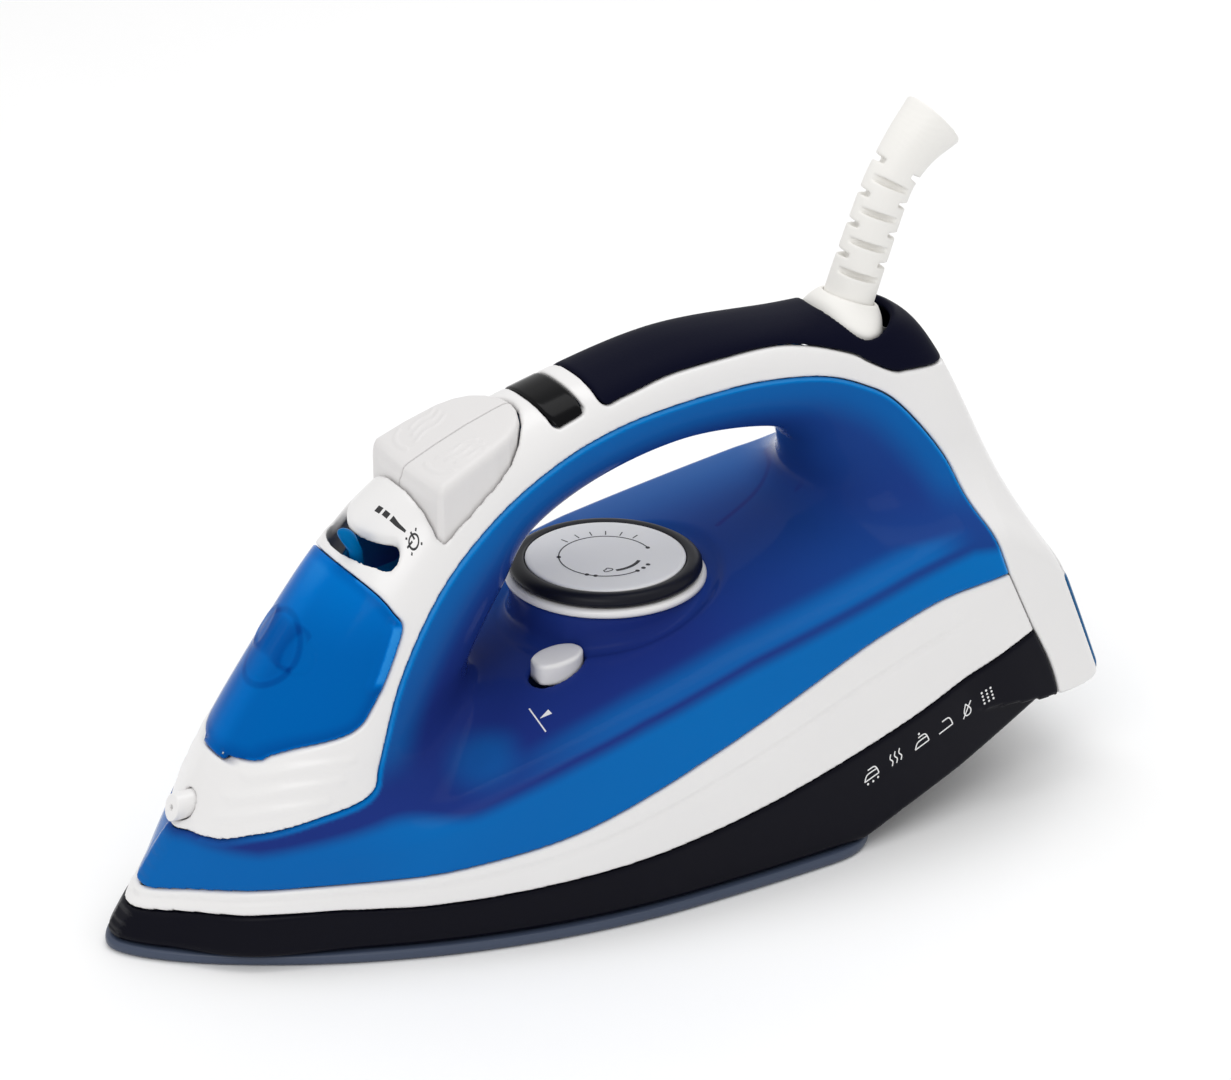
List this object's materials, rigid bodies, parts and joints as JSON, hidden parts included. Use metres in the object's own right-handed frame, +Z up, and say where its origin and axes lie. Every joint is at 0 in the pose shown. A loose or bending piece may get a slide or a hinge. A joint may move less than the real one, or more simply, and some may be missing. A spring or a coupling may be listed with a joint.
{
  "type": "steam iron",
  "caption": "Household steam iron: boat-shaped body with a clear blue water tank, ring handle, spray and steam buttons, steam lever, temperature dial, filler lid and cord guard.",
  "frame": {"origin": "centre of the bounding box in plan, on the soleplate's underside", "axes": "+Z up, -X towards the soleplate's point, +X towards the heel, -Y the side that faces the viewer in the main view"},
  "size_m": [0.2868, 0.1188, 0.1911],
  "materials": {
    "white_abs": "glossy",
    "black_skirt": "satin",
    "navy_grip": "matte",
    "tank_blue": "clear, tinted",
    "lid_blue": "clear, tinted",
    "heel_blue": "satin",
    "sole_blue": "satin enamel",
    "gloss_black": "glossy",
    "silver_disc": "satin",
    "cream": "satin",
    "aluminium": "as cast",
    "steel": "plain",
    "brass": "plain",
    "silicone": "matte",
    "circuit_green": "satin",
    "ceramic": "matte",
    "nylon": "matte"
  },
  "bodies": {
    "iron": {"soleplate": "sole_blue", "heater_casting": "aluminium", "heating_element": "steel", "chamber_cover": "steel", "chamber_screw_1": "steel", "chamber_screw_2": "steel", "chamber_screw_3": "steel", "heat_shield": "black_skirt", "lower_band": "white_abs", "water_tank": "tank_blue", "tank_floor": "nylon", "upper_frame": "white_abs", "handle_grip": "navy_grip", "indicator_window": "gloss_black", "indicator_lamp": "brass", "rear_cover": "white_abs", "heel_plate": "heel_blue", "lid_hinge_pin": "steel", "filler_funnel": "nylon", "filler_seal": "silicone", "spray_nozzle": "white_abs", "spray_hose": "silicone", "burst_hose": "silicone", "spray_pump": "nylon", "burst_pump": "nylon", "valve_seat": "brass", "dial_base_ring": "white_abs", "thermostat": "ceramic", "thermal_fuse": "ceramic", "terminal_block": "ceramic", "shutoff_board": "circuit_green", "board_relay": "gloss_black", "board_screw_1": "steel", "board_screw_2": "steel", "live_lead": "silicone", "neutral_lead": "silicone", "guard_socket": "cream", "cord_clamp": "nylon"},
    "dial": {"dial_knob": "gloss_black", "dial_plate": "silver_disc", "dial_shaft": "nylon"},
    "spray": {"spray_button": "white_abs", "spray_piston": "nylon", "spray_spring": "steel"},
    "burst": {"burst_button": "white_abs", "burst_piston": "nylon", "burst_spring": "steel"},
    "self_clean": {"self_clean_button": "white_abs", "self_clean_rod": "nylon", "self_clean_spring": "steel"},
    "steam_control": {"steam_lever": "lid_blue", "valve_stem": "steel"},
    "lid": {"filler_lid": "lid_blue"},
    "guard": {"cord_guard": "cream"}
  },
  "joints": [
    {"name": "dial_turn", "type": "hinge", "parent": "iron", "child": "dial", "pos_m": [0.0064, 0, 0.0777], "axis": [0, 0, 1], "range_deg": [0, 270]},
    {"name": "spray_press", "type": "slide", "parent": "iron", "child": "spray", "axis": [0, 0, -1], "range_m": [0, 0.0045], "stiffness_N_per_m": 800, "springref_m": -0.0015, "deforming": ["spray_spring"]},
    {"name": "burst_press", "type": "slide", "parent": "iron", "child": "burst", "axis": [0, 0, -1], "range_m": [0, 0.0045], "stiffness_N_per_m": 800, "springref_m": -0.0015, "deforming": ["burst_spring"]},
    {"name": "self_clean_press", "type": "slide", "parent": "iron", "child": "self_clean", "axis": [0, 0, -1], "range_m": [0, 0.003], "stiffness_N_per_m": 500, "springref_m": -0.001, "deforming": ["self_clean_spring"]},
    {"name": "steam_lever_turn", "type": "hinge", "parent": "iron", "child": "steam_control", "pos_m": [-0.051, 0, 0.09], "axis": [0, 0, 1], "range_deg": [-54, 24]},
    {"name": "filler_lid_hinge", "type": "hinge", "parent": "iron", "child": "lid", "pos_m": [-0.1102, 0, 0.0509], "axis": [0, -1, 0], "range_deg": [0, 75]},
    {"name": "cord_swivel", "type": "hinge", "parent": "iron", "child": "guard", "pos_m": [0.0795, 0, 0.129], "axis": [0.342, 0, 0.9397], "range_deg": [-150, 150]}
  ]
}
